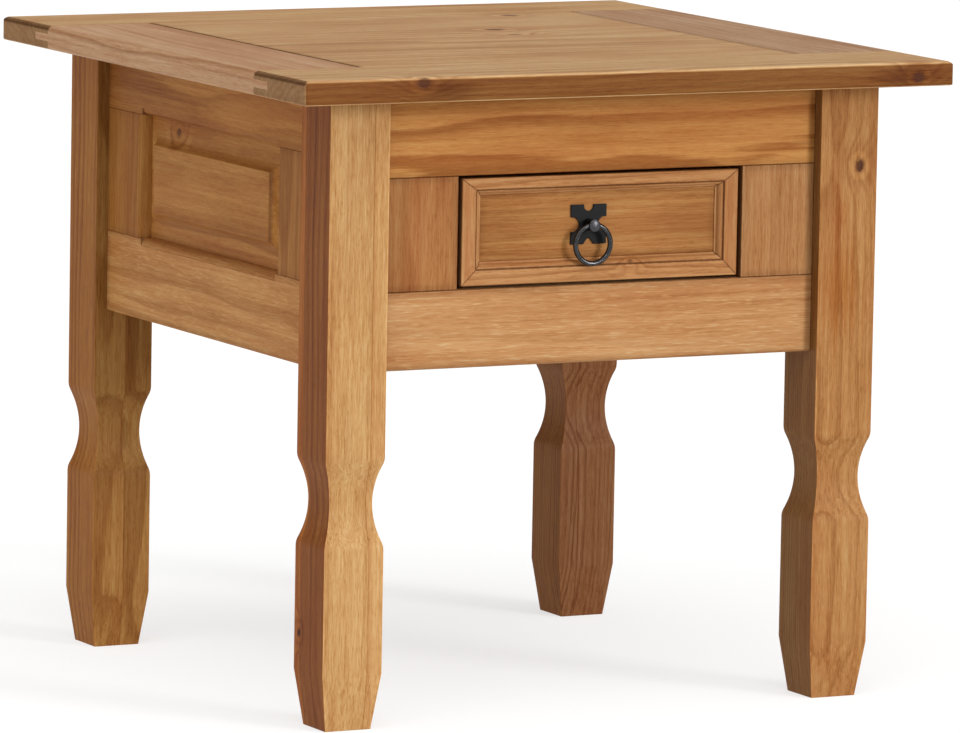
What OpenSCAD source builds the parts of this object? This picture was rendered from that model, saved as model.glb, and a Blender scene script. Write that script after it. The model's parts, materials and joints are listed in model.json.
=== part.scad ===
// Square side table with one drawer, four waisted legs and framed aprons.
// +Z is up and the front faces -Y. The origin is on the floor under the centre of the top.

/* [Top] */
// Width of the top, left to right
top_w = 500; // [460:1:600]
// Depth of the top, front to back
top_d = 500; // [480:1:600]
// Height from the floor to the top surface
table_h = 450; // [430:1:500]
// Thickness of the top boards
top_t = 17; // [16:0.5:24]
// How far the top reaches past the outer faces of the legs
overhang = 38; // [25:1:45]
// Width of each of the four border boards
border_w = 80; // [70:1:90]
// Radius of the upper edge of the top
edge_upper_r = 4.5; // [2:0.5:5]
// Radius of the lower edge of the top
edge_lower_r = 2.5; // [1:0.5:4]

/* [Legs] */
// Side of the square leg stock
leg_s = 45; // [40:1:50]
// Height of the middle of the waist above the floor
waist_z = 156; // [120:1:170]
// Half of the waist's height
waist_half = 32; // [26:1:38]
// How deep the waist is cut into each face
waist_in = 6.1; // [3:0.1:7]
// Height of the tapered foot
foot_h = 39; // [20:1:60]
// How far the foot tapers in on each face
foot_in = 5.3; // [2:0.1:8]

/* [Aprons] */
// Height of the aprons' lower edge above the floor
apron_z = 245; // [235:1:248]
// Thickness of the rails and stiles
rail_t = 20; // [18:0.5:24]
// How far the aprons stand back from the legs' outer faces
setback = 9; // [6:0.5:10]
// Width of the stiles beside the drawer and the panels
stile_w = 57; // [50:1:60]
// Height of the rail over the drawer
front_top_rail_h = 56; // [50:1:60]
// Height of the rail under the drawer
front_bottom_rail_h = 54; // [50:1:57]
// Height of the rails over the three framed panels
framed_top_rail_h = 42; // [38:1:48]
// Height of the rails under the three framed panels
framed_bottom_rail_h = 58; // [54:1:60]

/* [Drawer] */
// Gap between the drawer front and the stiles
gap_side = 3; // [2:0.5:4]
// Gap over and under the drawer front
gap_z = 2; // [1.5:0.5:3]
// Thickness of the drawer's side and back boards
box_t = 12; // [10:0.5:14]
// Height of the drawer's side boards
box_h = 58; // [50:1:60]
// Length of the drawer box behind its front
box_len = 320; // [260:1:330]
// Width of the moulding along the drawer front's sides and bottom
mould_w = 16; // [12:0.5:18]
// Width of the moulding along the drawer front's top
mould_top_w = 12; // [10:0.5:18]
// How far the moulding stands over the drawer front's field
mould_t = 5; // [4:0.5:6]

/* [Pull] */
// Side of the square back plate
plate_s = 27.5; // [24:0.5:32]
// Outer diameter of the ring
ring_od = 30.5; // [26:0.5:34]
// Diameter of the ring's stock
ring_stock = 3.7; // [3:0.1:4]
// How far the pull is left of the drawer's centre
pull_left = 7.5; // [0:0.5:15]

/* [Hidden] */
// Facets of round shapes
$fn = 48;

// Top
top_z = table_h - top_t;
seam_x = top_w / 2 - border_w;
seam_y = top_d / 2 - border_w;
top_corner_r = 2.5;
tongue_t = 5.5;
tongue_up = 5.7;
tongue_z = top_z + tongue_up;
end_tongue = 22;
side_tongue = 9.5;
groove_spare = 0.5;
side_seam_v = 3.6;
end_seam_v = 0.5;

// Legs
leg_out_x = top_w / 2 - overhang;
leg_out_y = top_d / 2 - overhang;
span_x = 2 * (leg_out_x - leg_s);
span_y = 2 * (leg_out_y - leg_s);
shoulder_r = 15;
waist_angle = 2 * atan(waist_in / waist_half);
waist_r = waist_half / sin(waist_angle) - shoulder_r;
waist_steps = 14;

// Aprons: "face" is the distance from the table's middle plane to an apron's outer face
face_x = leg_out_x - setback;
face_y = leg_out_y - setback;
tenon_l = 12;
tenon_t = 8;
tenon_depth = 6;
tenon_in = 10;
tenon_out = 6;
mortise_spare = 1;
stub_l = 7;
stub_in = 10;
panel_tongue_t = 6;
panel_tongue_depth = 8;
panel_groove = 8;
panel_field_depth = 2;
panel_bevel_side = 16;
panel_bevel_end = 20;
cove_r = 9;
cove_angle = 62;
cove_steps = 8;
cove_w = cove_r * sin(cove_angle);
cove_depth = panel_field_depth + cove_r * (1 - cos(cove_angle));
edge_mould_r = 5;
edge_mould_step = 0.6;
rail_chamfer = 2;
arc_steps = 8;
front_open_z0 = apron_z + front_bottom_rail_h;
front_open_z1 = top_z - front_top_rail_h;
framed_open_z0 = apron_z + framed_bottom_rail_h;
framed_open_z1 = top_z - framed_top_rail_h;
front_open_half = span_x / 2 - stile_w;

// Drawer
front_w = 2 * (front_open_half - gap_side);
front_z0 = front_open_z0 + gap_z;
front_z1 = front_open_z1 - gap_z;
front_board_t = 13;
field_y = -face_y + mould_t;
front_back_y = field_y + front_board_t;
box_half = front_w / 2 - 1;
box_z0 = front_z0 + 1;
box_y1 = front_back_y + box_len;
dado = 6;
bottom_t = 4;
bottom_up = 5;
bottom_z = box_z0 + bottom_up;
bottom_groove = 5;
bottom_spare = 0.5;
back_inset = 2;
slide_gap = 0.3;
mould_arris = 0.6;
bead_w = 5;
bead_quirk = 0.4;
bead_lip = 0.6;
bead_drop = 0.8;

// Drawer bay
runner_top = box_z0 - slide_gap;
runner_h = 18;
runner_reach = 10;
guide_t = 12;
guide_gap = 1;
runner_in = box_half - runner_reach;
guide_in = box_half + guide_gap;
guide_out = guide_in + guide_t;
guide_h = 20;
kicker_gap = 2;
kicker_z = box_z0 + box_h + kicker_gap;
kicker_h = 30;
kicker_in = box_half - box_t;
stop_l = 18;
stop_h = 15;
stop_gap = 0.5;
inner_x = face_x - rail_t;
inner_y = face_y - rail_t;

// Corner blocks, their hanger bolts and the battens under the top
block_from = 34;
block_to = 62;
block_h = 35;
block_drop = 5;
block_z = top_z - block_drop - block_h;
bolt_r = 3;
bolt_clear = 0.2;
bolt_z = block_z + block_h / 2;
bolt_in_leg = 28;
bolt_behind = 13;
washer_r = 7;
washer_t = 1.2;
nut_r = 5.77;
nut_h = 5;
batten_w = 28;
batten_h = 18;
batten_l = 220;
screw_r = 2;
screw_head_r = 4;
screw_head_h = 2.4;
screw_tip_l = 4;
screw_clear = 0.05;
top_screw_l = 27;
top_screw_x = inner_x - batten_w + 9;
side_screw_l = 40;
top_screw_ys = [-90, 0, 90];
side_screw_ys = [-60, 60];

// Pull
pull_x = -pull_left;
pull_z = (front_z0 + front_z1) / 2 + 2;
plate_t = 1.3;
plate_y = field_y - plate_t;
top_notch_r = 3.7;
top_notch_in = 0.9;
side_notch_r = 5.2;
side_notch_in = 1.2;
point_notch_half = 4;
point_notch_h = 4.7;
point_notch_neck = 2;
point_notch_tip = 1.9;
eye_out = 8;
eye_y = field_y - eye_out;
eye_spare = 0.55;
eye_r = ring_stock / 2 + eye_spare;
post_r = 4.15;
post_past_eye = 3.6;
post_end_y = eye_y - post_past_eye;
post_dome_r = 9;
ring_r = (ring_od - ring_stock) / 2;
ring_rise = (ring_r - sqrt(ring_r * ring_r - post_r * post_r)) / 2;
ring_z = pull_z + ring_rise - ring_r;
pull_screw_r = 2;
pull_screw_in = 3.9;
end_spare = 0.1;
pull_head_r = 4;
pull_head_h = 2.6;
pull_washer_r = 5.5;
pull_washer_t = 1;

// Colours
pine = "#c58a4e";
pine_light = "#d19a5e";
pine_side = "#a8703d";
inner_wood = "#d8b27c";
zinc = "#b9bcc0";
iron = "#1c1c1e";
gunmetal = "#55585c";

// ---------- helpers ----------

// Points of an arc about c, from angle a0 to a1
function arc(c, r, a0, a1, steps = arc_steps) =
    [for (i = [0:steps])
        let (a = a0 + (a1 - a0) * i / steps)
        c + r * [cos(a), sin(a)]];

// An outline given for the right half, closed by its mirror image
function both_sides(right) =
    concat(right, [for (i = [len(right) - 1:-1:0]) [-right[i][0], right[i][1]]]);

// A box given by its lowest and highest corners
module box(lo, hi) {
    translate(lo)
        cube(hi - lo);
}

// A shape drawn in (x, z), given depth along Y from y0 to y1
module along_y(y0, y1) {
    translate([0, y1, 0])
        rotate([90, 0, 0])
            linear_extrude(y1 - y0)
                children();
}

// A shape drawn in (y, z), given length along X from x0 to x1
module along_x(x0, x1) {
    translate([x0, 0, 0])
        rotate([90, 0, 90])
            linear_extrude(x1 - x0)
                children();
}

// Copies a shape to both sides of the middle plane
module left_and_right() {
    children();
    mirror([1, 0, 0])
        children();
}

// Copies a shape to the four corners
module four_corners() {
    left_and_right() {
        children();
        mirror([0, 1, 0])
            children();
    }
}

// ---------- top ----------

// Half section of the top across one direction, with its rounded edges
function top_section(half) = both_sides(concat(
    arc([half - edge_lower_r, top_z + edge_lower_r], edge_lower_r, -90, 0),
    arc([half - edge_upper_r, table_h - edge_upper_r], edge_upper_r, 0, 90)
));

// Outline of the top seen from above, with softened corners
function top_outline() =
    let (c = [top_w / 2 - top_corner_r, top_d / 2 - top_corner_r])
    concat(
        arc([c[0], c[1]], top_corner_r, 0, 90, 4),
        arc([-c[0], c[1]], top_corner_r, 90, 180, 4),
        arc([-c[0], -c[1]], top_corner_r, 180, 270, 4),
        arc([c[0], -c[1]], top_corner_r, 270, 360, 4)
    );

// The whole top as one shaped slab, before it is divided into boards
module top_slab() {
    intersection() {
        along_y(-top_d, top_d)
            polygon(top_section(top_w / 2));
        along_x(-top_w, top_w)
            polygon(top_section(top_d / 2));
        translate([0, 0, top_z - 1])
            linear_extrude(top_t + 2)
                polygon(top_outline());
    }
}

// V grooves along the seams: wide beside the side boards, fine in front and behind
module seam_grooves() {
    left_and_right()
        translate([seam_x, 0, table_h])
            rotate([0, 45, 0])
                cube([side_seam_v / sqrt(2), 2 * seam_y, side_seam_v / sqrt(2)], center = true);
    for (y = [-seam_y, seam_y])
        translate([0, y, table_h])
            rotate([45, 0, 0])
                cube([top_w + 2, end_seam_v / sqrt(2), end_seam_v / sqrt(2)], center = true);
}

// Holes that the vertical batten screws need in the top
module top_screw_holes() {
    left_and_right()
        for (y = top_screw_ys)
            translate([top_screw_x, y, top_z - batten_h])
                wood_screw(top_screw_l, screw_clear);
}

module top_center_panel() {
    color(pine_light)
        difference() {
            union() {
                intersection() {
                    top_slab();
                    box([-seam_x, -seam_y, 0], [seam_x, seam_y, table_h]);
                }
                box([-seam_x, -seam_y - end_tongue, tongue_z],
                    [seam_x, seam_y + end_tongue, tongue_z + tongue_t]);
                box([-seam_x - side_tongue, -seam_y, tongue_z],
                    [seam_x + side_tongue, seam_y, tongue_z + tongue_t]);
            }
            seam_grooves();
            top_screw_holes();
        }
}

// Front board; the back board is its mirror image
module top_end_board() {
    color(pine)
        difference() {
            intersection() {
                top_slab();
                box([-top_w, -top_d, 0], [top_w, -seam_y, table_h]);
            }
            box([-top_w, -seam_y - end_tongue - groove_spare, tongue_z],
                [top_w, 1 - seam_y, tongue_z + tongue_t]);
            seam_grooves();
        }
}

// Right side board, with its end tongues; the left board is its mirror image
module top_side_board() {
    color(pine_side)
        difference() {
            intersection() {
                top_slab();
                union() {
                    box([seam_x, -seam_y, 0], [top_w, seam_y, table_h]);
                    box([seam_x, -seam_y - end_tongue, tongue_z],
                        [top_w, seam_y + end_tongue, tongue_z + tongue_t]);
                }
            }
            box([seam_x - 1, -top_d, tongue_z],
                [seam_x + side_tongue + groove_spare, top_d, tongue_z + tongue_t]);
            seam_grooves();
        }
}

// ---------- legs ----------

// How far the waist is cut in at height z from its middle
function waist_cut(z) =
    abs(z) < waist_r * sin(waist_angle)
        ? waist_in - waist_r + sqrt(waist_r * waist_r - z * z)
        : shoulder_r - sqrt(shoulder_r * shoulder_r - pow(waist_half - abs(z), 2));

// Leg outline: tapered foot, straight block, waist and straight upper part
function leg_outline() = both_sides(concat(
    [[leg_s / 2 - foot_in, 0], [leg_s / 2, foot_h]],
    [for (i = [-waist_steps:waist_steps])
        let (z = waist_half * i / waist_steps)
        [leg_s / 2 - waist_cut(z), waist_z + z]],
    [[leg_s / 2, top_z]]
));

// A tenon at the +X end of a rail that spans z0 to z1; "low" is true on a bottom rail
module tenon(span, face, z0, z1, low, spare = 0) {
    zl = z0 + (low ? tenon_out : tenon_in);
    zh = z1 - (low ? tenon_in : tenon_out);
    box([span / 2 - 1, -face + tenon_depth, zl],
        [span / 2 + tenon_l + spare, -face + tenon_depth + tenon_t, zh]);
}

// Mortises in the leg at the +X end of the framed apron on the -Y side
module framed_mortises(span, face) {
    tenon(span, face, apron_z, framed_open_z0, true, mortise_spare);
    tenon(span, face, framed_open_z1, top_z, false, mortise_spare);
}

// Mortises in the leg at the +X end of the front apron
module front_mortises() {
    tenon(span_x, face_y, apron_z, front_open_z0, true, mortise_spare);
    tenon(span_x, face_y, front_open_z1, top_z, false, mortise_spare);
}

// Leg at the +X, -Y corner; at the front it takes the drawer's rails, at the back a framed apron
module leg(front) {
    color(pine)
        difference() {
            translate([leg_out_x - leg_s / 2, -leg_out_y + leg_s / 2, 0])
                intersection() {
                    along_y(-leg_s, leg_s)
                        polygon(leg_outline());
                    along_x(-leg_s, leg_s)
                        polygon(leg_outline());
                }
            if (front)
                front_mortises();
            else
                framed_mortises(span_x, face_y);
            rotate([0, 0, 90])
                mirror([1, 0, 0])
                    framed_mortises(span_y, face_x);
            mirror([0, 1, 0])
                hanger_hole(bolt_r + screw_clear);
        }
}

// ---------- aprons ----------

// Void of the panel opening across one direction, with the rounded edge that the frame carries
function opening_section(half, face) = both_sides(concat(
    [[half + edge_mould_r, -face - 1], [half + edge_mould_r, -face + edge_mould_step]],
    arc([half + edge_mould_r, -face + edge_mould_step + edge_mould_r], edge_mould_r, 270, 180),
    [[half, -face + rail_t + 1]]
));

// A shape drawn in (z, y) with z measured from zc, run along X from -l to l
module run_along_x(l, zc) {
    translate([-l, 0, zc])
        rotate([0, 90, 0])
            linear_extrude(2 * l)
                children();
}

// The void that rounds the stiles' inner edges, between the rails
module stile_opening(span, face) {
    translate([0, 0, framed_open_z0])
        linear_extrude(framed_open_z1 - framed_open_z0)
            polygon(opening_section(span / 2 - stile_w, face));
}

// The void that rounds the rails' inner edges, between the stiles
module rail_opening(span, face) {
    half_z = (framed_open_z1 - framed_open_z0) / 2;
    run_along_x(span / 2 - stile_w, framed_open_z0 + half_z)
        polygon(opening_section(half_z, face));
}

// Section of a raised panel: tongue, shallow bevel, cove and raised field
function panel_section(half, bevel, face) = both_sides(concat(
    [
        [half + stub_l, -face + panel_tongue_depth + panel_tongue_t],
        [half + stub_l, -face + panel_tongue_depth],
        [half, -face + panel_tongue_depth]
    ],
    arc([half - bevel + cove_w, -face + cove_depth - cove_r],
        cove_r, 90, 90 + cove_angle, cove_steps)
));

module framed_panel(span, face) {
    half_z = (framed_open_z1 - framed_open_z0) / 2;
    color(pine_side)
        intersection() {
            linear_extrude(table_h)
                polygon(panel_section(span / 2 - stile_w, panel_bevel_side, face));
            run_along_x(span / 2, framed_open_z0 + half_z)
                polygon(panel_section(half_z, panel_bevel_end, face));
        }
}

// Board of an apron, flush with its outer face
module apron_board(x0, x1, z0, z1, face) {
    box([x0, -face, z0], [x1, -face + rail_t, z1]);
}

// Groove or stub tongue in the middle of a frame's inner edges
module frame_tongue(x0, x1, z0, z1, face) {
    box([x0, -face + panel_tongue_depth, z0],
        [x1, -face + panel_tongue_depth + panel_tongue_t, z1]);
}

// Small chamfer along a bottom rail's outer lower edge
module lower_chamfer(span, face) {
    translate([0, -face, apron_z])
        rotate([45, 0, 0])
            cube([span, rail_chamfer, rail_chamfer], center = true);
}

module framed_top_rail(span, face) {
    color(pine_side)
        difference() {
            union() {
                apron_board(-span / 2, span / 2, framed_open_z1, top_z, face);
                left_and_right()
                    tenon(span, face, framed_open_z1, top_z, false);
            }
            frame_tongue(-span / 2 - 1, span / 2 + 1,
                framed_open_z1 - 1, framed_open_z1 + panel_groove, face);
            rail_opening(span, face);
            children();
        }
}

module framed_bottom_rail(span, face) {
    color(pine_side)
        difference() {
            union() {
                apron_board(-span / 2, span / 2, apron_z, framed_open_z0, face);
                left_and_right()
                    tenon(span, face, apron_z, framed_open_z0, true);
            }
            frame_tongue(-span / 2 - 1, span / 2 + 1,
                framed_open_z0 - panel_groove, framed_open_z0 + 1, face);
            rail_opening(span, face);
            lower_chamfer(span, face);
        }
}

// Stile at the +X end of a framed apron
module framed_stile(span, face) {
    x0 = span / 2 - stile_w;
    color(pine_side)
        difference() {
            union() {
                apron_board(x0, span / 2, framed_open_z0, framed_open_z1, face);
                frame_tongue(x0 + panel_groove, span / 2,
                    framed_open_z0 - stub_l, framed_open_z1 + stub_l, face);
            }
            frame_tongue(x0 - 1, x0 + panel_groove,
                framed_open_z0 - 1, framed_open_z1 + 1, face);
            stile_opening(span, face);
        }
}

// Stub mortise or tongue between a front stile and the rails, at the +X side
module front_stub(z0, z1, spare = 0) {
    frame_tongue(span_x / 2 - stile_w + stub_in, span_x / 2 - stub_in,
        z0 - spare, z1 + spare, face_y);
}

module front_top_rail() {
    color(pine)
        difference() {
            union() {
                apron_board(-span_x / 2, span_x / 2, front_open_z1, top_z, face_y);
                left_and_right()
                    tenon(span_x, face_y, front_open_z1, top_z, false);
            }
            left_and_right()
                front_stub(front_open_z1, front_open_z1 + stub_l, mortise_spare);
        }
}

module front_bottom_rail() {
    color(pine)
        difference() {
            union() {
                apron_board(-span_x / 2, span_x / 2, apron_z, front_open_z0, face_y);
                left_and_right()
                    tenon(span_x, face_y, apron_z, front_open_z0, true);
            }
            left_and_right()
                front_stub(front_open_z0 - stub_l, front_open_z0, mortise_spare);
            lower_chamfer(span_x, face_y);
        }
}

// Right front stile; the left one is its mirror image
module front_stile() {
    color(pine_side) {
        apron_board(span_x / 2 - stile_w, span_x / 2, front_open_z0, front_open_z1, face_y);
        front_stub(front_open_z0 - stub_l, front_open_z1 + stub_l);
    }
}

// Puts a framed apron's piece, drawn on the -Y side, on the left, right or back
module on_left() {
    rotate([0, 0, -90])
        children();
}

module on_right() {
    rotate([0, 0, 90])
        children();
}

module on_back() {
    rotate([0, 0, 180])
        children();
}

// Side top rails also take the horizontal batten screws
module side_top_rail() {
    framed_top_rail(span_y, face_x)
        side_screw_holes();
}

// ---------- inside the carcass ----------

// Right drawer runner; the left one is its mirror image
module drawer_runner() {
    color(inner_wood)
        box([runner_in, -inner_y, runner_top - runner_h], [guide_out, inner_y, runner_top]);
}

// Right side guide, which keeps the drawer straight
module drawer_guide() {
    color(inner_wood)
        box([guide_in, -inner_y, runner_top], [guide_out, inner_y, runner_top + guide_h]);
}

// Right kicker, which stops the open drawer from tipping
module drawer_kicker() {
    color(inner_wood)
        box([kicker_in, -inner_y, kicker_z], [guide_out, inner_y, kicker_z + kicker_h]);
}

// Stop blocks behind the drawer's sides
module drawer_stops() {
    color(inner_wood)
        left_and_right()
            box([runner_in, box_y1 + stop_gap, runner_top],
                [guide_in, box_y1 + stop_gap + stop_l, runner_top + stop_h]);
}

// Turns a shape that points along +X to the diagonal of the +X, +Y corner, at the leg's inner edge
module on_diagonal() {
    translate([leg_out_x - leg_s, leg_out_y - leg_s, bolt_z])
        rotate([0, 0, 45])
            rotate([0, 90, 0])
                children();
}

// Hanger bolt's hole, from behind the corner block into the leg
module hanger_hole(r) {
    on_diagonal()
        translate([0, 0, -block_to])
            cylinder(r = r, h = block_to + bolt_in_leg + mortise_spare);
}

// Diagonal block behind the +X, +Y leg
module corner_block() {
    color(inner_wood)
        difference() {
            translate([0, 0, block_z])
                linear_extrude(block_h)
                    polygon([
                        [inner_x, inner_y - block_from],
                        [inner_x, inner_y - block_to],
                        [inner_x - block_to, inner_y],
                        [inner_x - block_from, inner_y]
                    ]);
            hanger_hole(bolt_r + bolt_clear);
        }
}

// Distance along the diagonal from the leg's inner edge back to the block's inner face
block_back = (block_to - 2 * (leg_s - setback - rail_t)) / sqrt(2);

module hanger_bolts() {
    color(zinc)
        four_corners()
            on_diagonal()
                translate([0, 0, -block_back - bolt_behind])
                    cylinder(r = bolt_r, h = block_back + bolt_behind + bolt_in_leg);
}

module hanger_washers() {
    color(zinc)
        four_corners()
            on_diagonal()
                translate([0, 0, -block_back - washer_t])
                    difference() {
                        cylinder(r = washer_r, h = washer_t);
                        translate([0, 0, -1])
                            cylinder(r = bolt_r + bolt_clear, h = washer_t + 2);
                    }
}

module hanger_nuts() {
    color(zinc)
        four_corners()
            on_diagonal()
                translate([0, 0, -block_back - washer_t - nut_h])
                    difference() {
                        cylinder(r = nut_r, h = nut_h, $fn = 6);
                        translate([0, 0, -1])
                            cylinder(r = bolt_r + screw_clear, h = nut_h + 2);
                    }
}

// Countersunk wood screw along +Z with its head's face at the origin
module wood_screw(l, grow = 0) {
    rotate_extrude($fn = 24)
        polygon([
            [0, 0],
            [screw_head_r + grow, 0],
            [screw_r + grow, screw_head_h],
            [screw_r + grow, l - screw_tip_l],
            [0, l + grow]
        ]);
}

// Horizontal screws through the right batten into the right side's top rail
module right_side_screws(grow = 0) {
    for (y = side_screw_ys)
        translate([inner_x - batten_w, y, top_z - batten_h / 2])
            rotate([0, 90, 0])
                wood_screw(side_screw_l, grow);
}

// The same screws as holes, in the frame of an apron drawn on the -Y side
module side_screw_holes() {
    rotate([0, 0, -90])
        right_side_screws(screw_clear);
}

module batten_screws() {
    color(zinc)
        left_and_right() {
            right_side_screws();
            for (y = top_screw_ys)
                translate([top_screw_x, y, top_z - batten_h])
                    wood_screw(top_screw_l);
        }
}

// Right batten, which holds the top to the side apron
module top_batten() {
    color(inner_wood)
        difference() {
            box([inner_x - batten_w, -batten_l / 2, top_z - batten_h],
                [inner_x, batten_l / 2, top_z]);
            right_side_screws(screw_clear);
            top_screw_holes();
        }
}

// ---------- drawer ----------

module drawer_front() {
    color(pine)
        difference() {
            box([-front_w / 2, field_y, front_z0], [front_w / 2, front_back_y, front_z1]);
            left_and_right()
                box([box_half - box_t, front_back_y - dado, box_z0],
                    [box_half, front_back_y + 1, box_z0 + box_h]);
            box([-box_half + box_t - 1, front_back_y - dado, bottom_z],
                [box_half - box_t + 1, front_back_y + 1, bottom_z + bottom_t]);
            translate([pull_x, field_y - 1, pull_z])
                rotate([-90, 0, 0])
                    cylinder(r = pull_screw_r + bolt_clear, h = front_board_t + 2);
        }
}

// Section of the moulding: x is the distance from its outer edge, y its height over the field
function full_mould_section() =
    let (bead_x = mould_w - bead_w)
    concat(
        [
            [0, 0],
            [0, mould_t - mould_arris],
            [mould_arris, mould_t],
            [bead_x - bead_quirk, mould_t],
            [bead_x, mould_t - bead_quirk]
        ],
        arc([bead_x, bead_lip], mould_t - bead_drop - bead_lip, 90, 0),
        [[mould_w, bead_lip], [mould_w, 0]]
    );

// The same section, narrowed to the width w
function mould_section(w) =
    [for (p = full_mould_section()) [p[0] * w / mould_w, p[1]]];

// One moulding, l long and w wide; its outer edge is on the X axis and it faces -Y. It is mitred against
// mouldings of the widths minus_w and plus_w at its -X and +X ends.
module moulding(l, w, minus_w, plus_w) {
    color(pine_light)
        intersection() {
            rotate([0, -90, 0])
                translate([0, 0, -l / 2])
                    linear_extrude(l)
                        mirror([0, 1])
                            polygon(mould_section(w));
            along_y(-mould_t - 1, 1)
                polygon([[-l / 2, 0], [l / 2, 0], [l / 2 - plus_w, w], [minus_w - l / 2, w]]);
        }
}

module top_moulding() {
    moulding(front_w, mould_top_w, mould_w, mould_w);
}

module bottom_moulding() {
    moulding(front_w, mould_w, mould_w, mould_w);
}

// Left moulding, whose top is its -X end; the right one is its mirror image
module side_moulding() {
    moulding(front_z1 - front_z0, mould_w, mould_top_w, mould_w);
}

// Puts a moulding on one edge of the drawer front: turn 0 bottom, 90 left, 180 top, 270 right
module on_front_edge(turn) {
    reach = (turn == 90 || turn == 270) ? front_w / 2 : (front_z1 - front_z0) / 2;
    translate([0, field_y, (front_z0 + front_z1) / 2])
        rotate([0, turn, 0])
            translate([0, 0, -reach])
                children();
}

// Right side board of the drawer; the left one is its mirror image
module drawer_side() {
    color(inner_wood)
        difference() {
            box([box_half - box_t, front_back_y - dado, box_z0],
                [box_half, box_y1, box_z0 + box_h]);
            box([box_half - box_t - 1, front_back_y - dado - 1, bottom_z],
                [box_half - box_t + bottom_groove, box_y1 + 1, bottom_z + bottom_t]);
        }
}

module drawer_back() {
    color(inner_wood)
        box([-box_half + box_t, box_y1 - back_inset - box_t, bottom_z + bottom_t],
            [box_half - box_t, box_y1 - back_inset, box_z0 + box_h]);
}

module drawer_bottom() {
    half = box_half - box_t;
    tongue = bottom_groove - bottom_spare;
    color(inner_wood) {
        box([-half - tongue, front_back_y, bottom_z],
            [half + tongue, box_y1, bottom_z + bottom_t]);
        box([-half, front_back_y - dado + bottom_spare, bottom_z],
            [half, front_back_y + 1, bottom_z + bottom_t]);
    }
}

// ---------- pull ----------

// Outline of the cross-shaped plate: round notches on top and at the sides, a pointed one below
module plate_outline() {
    h = plate_s / 2;
    difference() {
        square(plate_s, center = true);
        translate([0, h - top_notch_in])
            circle(top_notch_r);
        translate([-top_notch_r, h - top_notch_in])
            square([2 * top_notch_r, top_notch_in + 1]);
        for (s = [-1, 1])
            translate([s * (h - side_notch_in), 0])
                circle(side_notch_r);
        polygon([
            [-point_notch_half, -h - 1],
            [-point_notch_half, -h],
            [-point_notch_neck, -h + point_notch_h - point_notch_tip],
            [0, -h + point_notch_h],
            [point_notch_neck, -h + point_notch_h - point_notch_tip],
            [point_notch_half, -h],
            [point_notch_half, -h - 1]
        ]);
    }
}

module pull_plate() {
    color(iron)
        difference() {
            translate([pull_x, 0, pull_z])
                along_y(plate_y, field_y)
                    plate_outline();
            translate([pull_x, plate_y - 1, pull_z])
                rotate([-90, 0, 0])
                    cylinder(r = pull_screw_r + bolt_clear, h = plate_t + 2);
        }
}

// Round post with a domed end, a cross hole for the ring and a tapped hole behind
module pull_post() {
    length = plate_y - post_end_y;
    color(gunmetal)
        translate([pull_x, plate_y, pull_z])
            difference() {
                rotate([90, 0, 0])
                    intersection() {
                        cylinder(r = post_r, h = length);
                        translate([0, 0, length - post_dome_r])
                            union() {
                                sphere(post_dome_r);
                                translate([0, 0, -length])
                                    cylinder(r = post_dome_r, h = length);
                            }
                    }
                translate([-post_r - 1, eye_y - plate_y, 0])
                    rotate([0, 90, 0])
                        cylinder(r = eye_r, h = 2 * post_r + 2);
                rotate([90, 0, 0])
                    translate([0, 0, -1])
                        cylinder(r = pull_screw_r + screw_clear, h = pull_screw_in + 1 + end_spare);
            }
}

// Machine screw from inside the drawer into the post
module pull_screw() {
    head_y = front_back_y + pull_washer_t;
    color(zinc)
        translate([pull_x, head_y, pull_z])
            rotate([90, 0, 0]) {
                cylinder(r = pull_screw_r, h = head_y - plate_y + pull_screw_in);
                translate([0, 0, -pull_head_h])
                    cylinder(r = pull_head_r, h = pull_head_h);
            }
}

module pull_washer() {
    color(zinc)
        translate([pull_x, front_back_y, pull_z])
            rotate([-90, 0, 0])
                difference() {
                    cylinder(r = pull_washer_r, h = pull_washer_t);
                    translate([0, 0, -1])
                        cylinder(r = pull_screw_r + bolt_clear, h = pull_washer_t + 2);
                }
}

module pull_ring() {
    color(iron)
        translate([pull_x, eye_y, ring_z])
            rotate([90, 0, 0])
                rotate_extrude()
                    translate([ring_r, 0])
                        circle(ring_stock / 2);
}

// ---------- nodes ----------

top_center_panel();
top_end_board();  // top_front_board
mirror([0, 1, 0]) top_end_board();  // top_back_board
mirror([1, 0, 0]) top_side_board();  // top_left_board
top_side_board();  // top_right_board

mirror([1, 0, 0]) leg(true);  // leg_front_left
leg(true);  // leg_front_right
rotate([0, 0, 180]) leg(false);  // leg_back_left
mirror([0, 1, 0]) leg(false);  // leg_back_right

front_top_rail();
front_bottom_rail();
mirror([1, 0, 0]) front_stile();  // front_left_stile
front_stile();  // front_right_stile

on_left() side_top_rail();  // left_top_rail
on_left() framed_bottom_rail(span_y, face_x);  // left_bottom_rail
on_left() framed_stile(span_y, face_x);  // left_front_stile
on_left() mirror([1, 0, 0]) framed_stile(span_y, face_x);  // left_back_stile
on_left() framed_panel(span_y, face_x);  // left_panel

on_right() side_top_rail();  // right_top_rail
on_right() framed_bottom_rail(span_y, face_x);  // right_bottom_rail
on_right() mirror([1, 0, 0]) framed_stile(span_y, face_x);  // right_front_stile
on_right() framed_stile(span_y, face_x);  // right_back_stile
on_right() framed_panel(span_y, face_x);  // right_panel

on_back() framed_top_rail(span_x, face_y);  // back_top_rail
on_back() framed_bottom_rail(span_x, face_y);  // back_bottom_rail
on_back() framed_stile(span_x, face_y);  // back_left_stile
on_back() mirror([1, 0, 0]) framed_stile(span_x, face_y);  // back_right_stile
on_back() framed_panel(span_x, face_y);  // back_panel

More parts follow.
